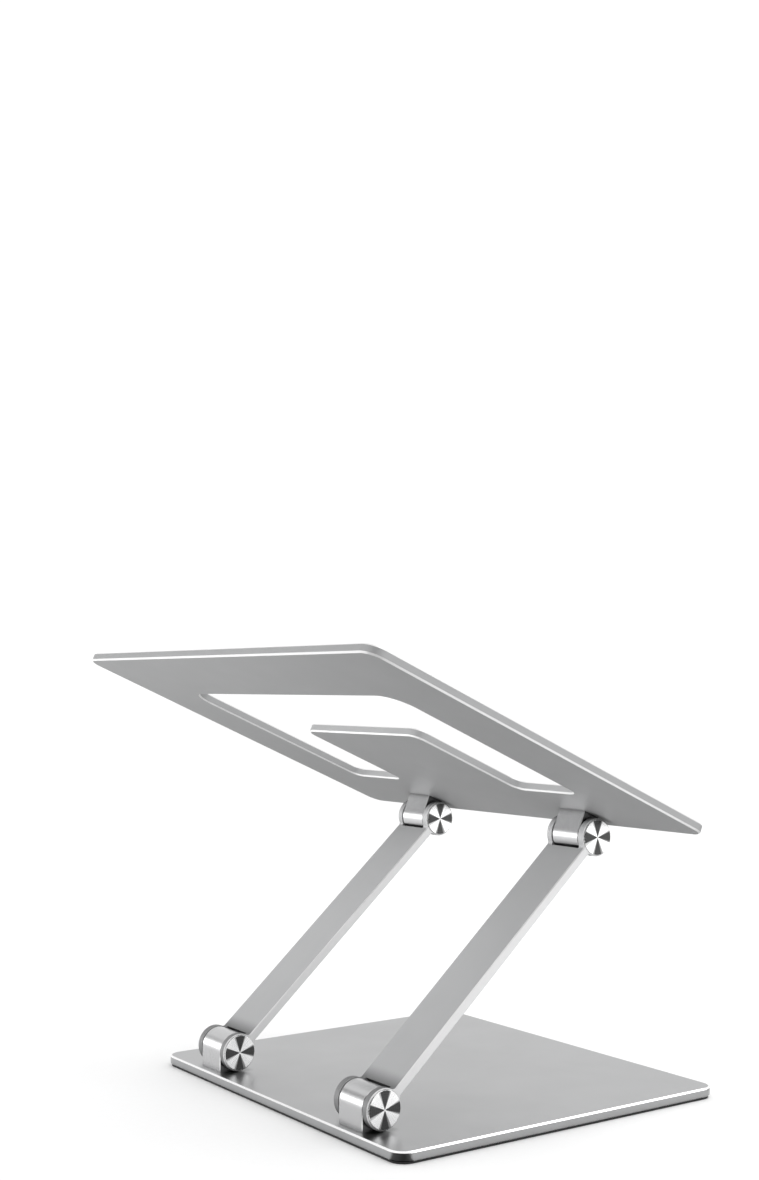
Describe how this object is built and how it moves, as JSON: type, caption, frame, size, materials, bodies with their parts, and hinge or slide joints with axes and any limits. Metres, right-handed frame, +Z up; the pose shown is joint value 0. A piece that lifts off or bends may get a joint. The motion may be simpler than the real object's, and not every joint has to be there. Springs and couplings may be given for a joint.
{
  "type": "laptop stand",
  "caption": "Folding laptop stand: flat base plate, two forked arms on friction hinges and a ventilated tilting tray with front hooks.",
  "frame": {"origin": "middle of the base mat's underside, on the surface the stand rests on", "axes": "+X to the user's right along the hinge axes, +Y away from the user, +Z up; the user sits on the -Y side"},
  "size_m": [0.2944, 0.2455, 0.2376],
  "materials": {
    "anodised_aluminium": "fine bead-blasted and clear anodised, bright cut chamfers",
    "polished_aluminium": "smooth satin anodised",
    "turned_metal": "spun face with fine concentric turning marks",
    "screw_steel": "plated steel",
    "nylon": "self-lubricating plastic",
    "silicone": "matt silicone",
    "mat_rubber": "matt rubber sheet"
  },
  "bodies": {
    "base": {"base_plate": "anodised_aluminium", "base_mat": "mat_rubber", "base_knuckle_left": "polished_aluminium", "base_knuckle_right": "polished_aluminium", "base_knuckle_screws": "screw_steel"},
    "left_arm": {"left_arm": "anodised_aluminium", "left_lower_pin": "turned_metal", "left_lower_pin_screw": "turned_metal", "left_lower_disc_springs": "screw_steel", "left_lower_friction_washers": "nylon", "left_upper_pin": "turned_metal", "left_upper_pin_screw": "turned_metal", "left_upper_disc_springs": "screw_steel", "left_upper_friction_washers": "nylon"},
    "right_arm": {"right_arm": "anodised_aluminium", "right_lower_pin": "turned_metal", "right_lower_pin_screw": "turned_metal", "right_lower_disc_springs": "screw_steel", "right_lower_friction_washers": "nylon", "right_upper_pin": "turned_metal", "right_upper_pin_screw": "turned_metal", "right_upper_disc_springs": "screw_steel", "right_upper_friction_washers": "nylon"},
    "tray": {"tray_plate": "anodised_aluminium", "tray_knuckle_left": "polished_aluminium", "tray_knuckle_right": "polished_aluminium", "tray_knuckle_screws": "screw_steel", "front_hook_left": "anodised_aluminium", "front_hook_right": "anodised_aluminium", "hook_pad_left": "silicone", "hook_pad_right": "silicone", "tray_pad_left": "silicone", "tray_pad_right": "silicone"}
  },
  "joints": [
    {"name": "left_arm_lift", "type": "hinge", "parent": "base", "child": "left_arm", "pos_m": [-0.0697, 0.0897, 0.0163], "axis": [-1, 0, 0], "range_deg": [-41.15, 30.85]},
    {"name": "right_arm_lift", "type": "hinge", "parent": "base", "child": "right_arm", "pos_m": [0.0697, 0.0897, 0.0163], "axis": [-1, 0, 0], "range_deg": [-41.15, 30.85]},
    {"name": "tray_tilt", "type": "hinge", "parent": "left_arm", "child": "tray", "pos_m": [-0.0697, -0.04923, 0.13771], "axis": [1, 0, 0], "range_deg": [-64.8, 25.2]}
  ],
  "couplings": [
    {"joint": "right_arm_lift", "follows": "left_arm_lift", "ratio": 1}
  ]
}
